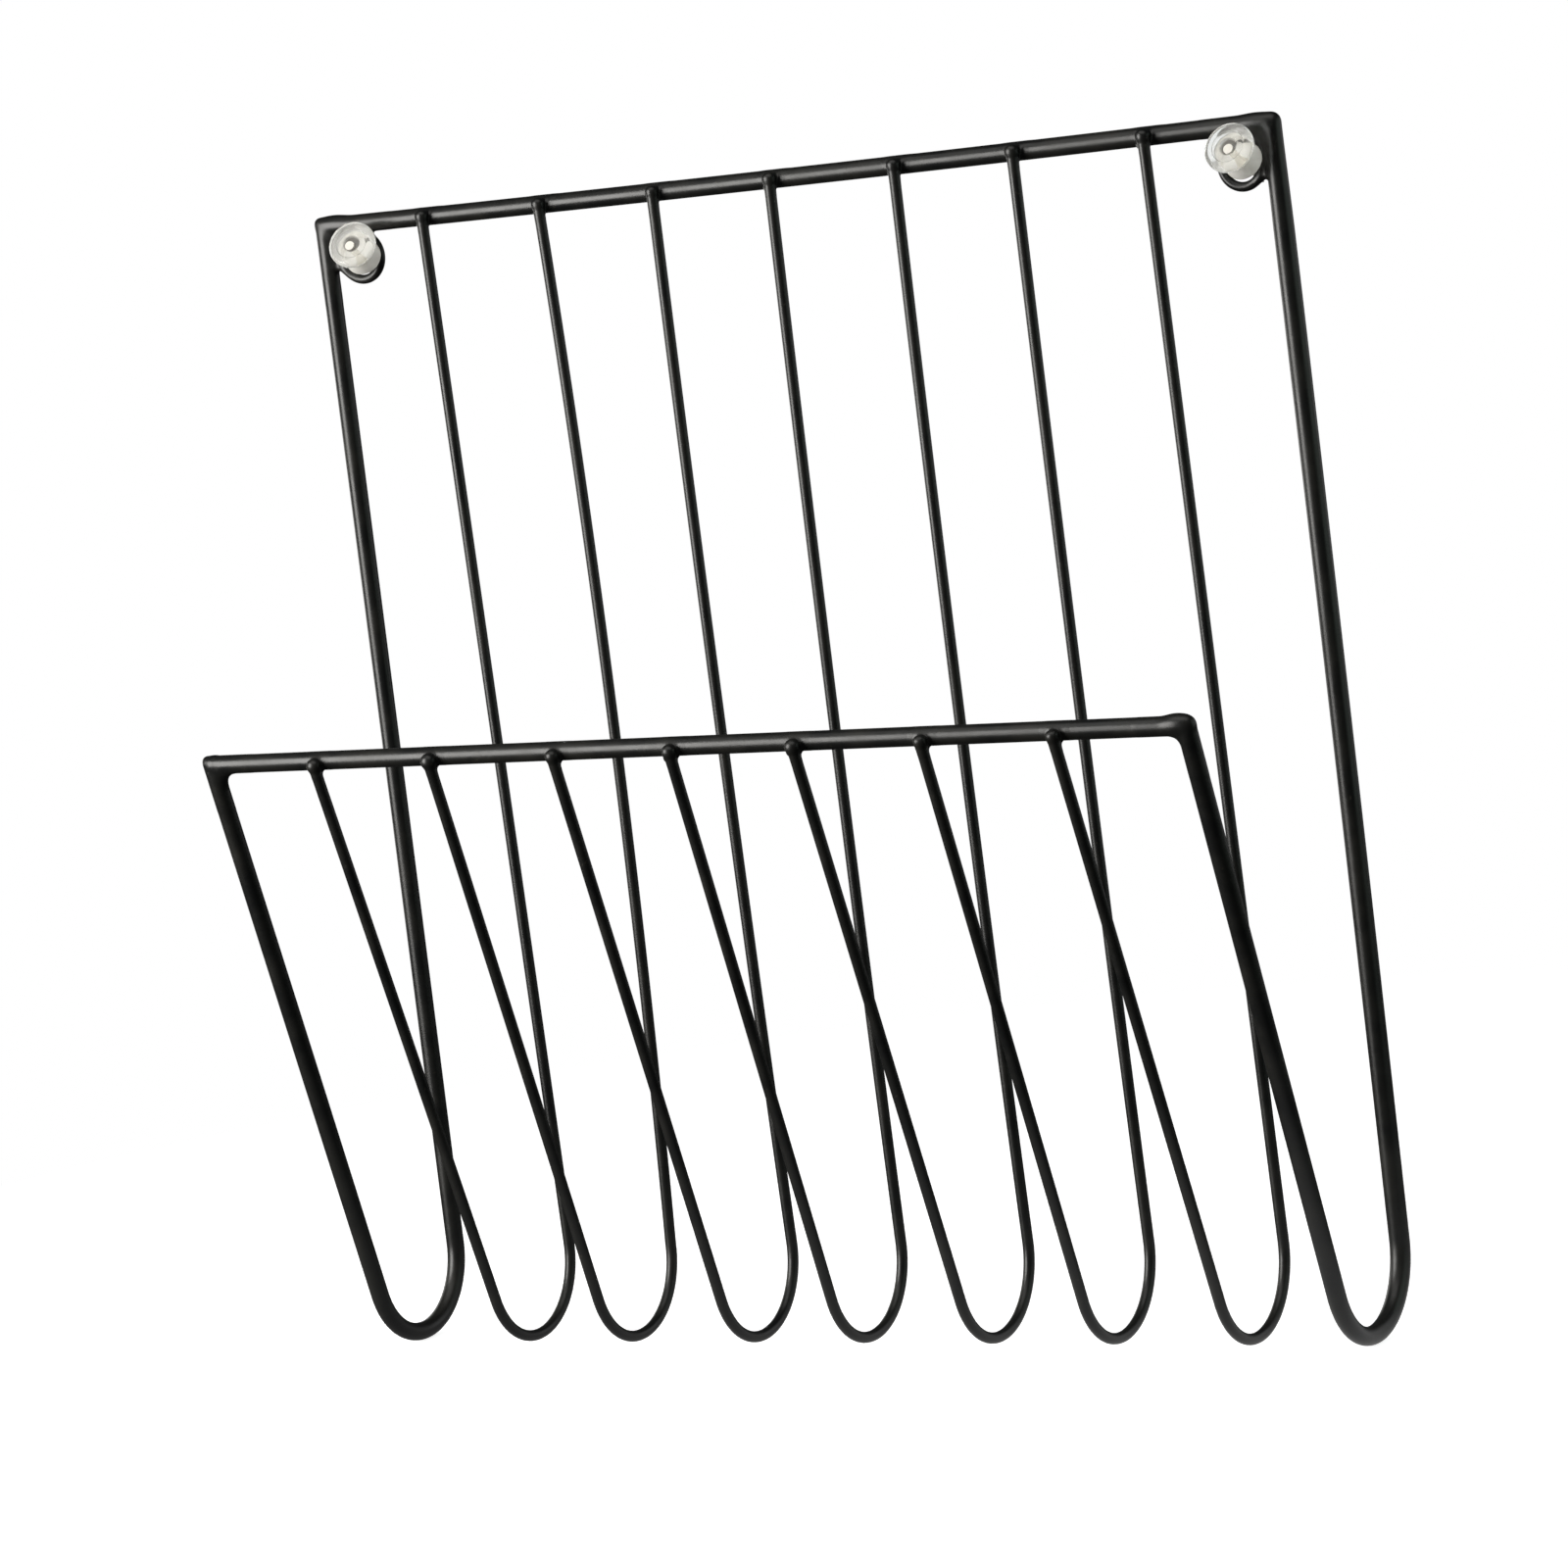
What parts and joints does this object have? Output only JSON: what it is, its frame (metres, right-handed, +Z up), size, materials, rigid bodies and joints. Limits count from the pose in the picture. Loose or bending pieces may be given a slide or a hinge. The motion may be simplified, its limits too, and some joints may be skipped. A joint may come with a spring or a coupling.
{
  "type": "newspaper rack",
  "caption": "Wall-hung newspaper rack of bent black wire: tall ladder-like back, leaning front pocket, corner eyelets held by clear push pins.",
  "frame": {"origin": "on the wall plane, midway between the side rods, level with the lowest surface of the bends", "axes": "+X to the right seen from the front, -Y is the front and +Y points into the wall, +Z up"},
  "size_m": [0.34, 0.1113, 0.358],
  "materials": {
    "black_iron": "satin black coat over round iron wire",
    "coated_weld": "weld metal under the same satin black coat",
    "clear_plastic": "clear moulded plastic, slightly milky",
    "nail_steel": "bright drawn steel"
  },
  "bodies": {
    "rack": {"back_rail": "black_iron", "front_rail": "black_iron", "left_side_rod": "black_iron", "right_side_rod": "black_iron", "wire_1": "black_iron", "wire_2": "black_iron", "wire_3": "black_iron", "wire_4": "black_iron", "wire_5": "black_iron", "wire_6": "black_iron", "wire_7": "black_iron", "back_wire_welds": "coated_weld", "front_wire_welds": "coated_weld", "left_front_weld": "coated_weld", "right_front_weld": "coated_weld", "left_eyelet": "black_iron", "right_eyelet": "black_iron", "left_eyelet_weld": "coated_weld", "right_eyelet_weld": "coated_weld"},
    "left_pin": {"left_pin_knob": "clear_plastic", "left_pin_nail": "nail_steel"},
    "right_pin": {"right_pin_knob": "clear_plastic", "right_pin_nail": "nail_steel"}
  },
  "joints": [
    {"name": "left_pin_pull", "type": "slide", "parent": "rack", "child": "left_pin", "axis": [0.2116, -0.8486, 0.4848], "range_m": [0, 0.016]},
    {"name": "right_pin_pull", "type": "slide", "parent": "rack", "child": "right_pin", "axis": [0, -0.8746, 0.4848], "range_m": [0, 0.016]}
  ]
}
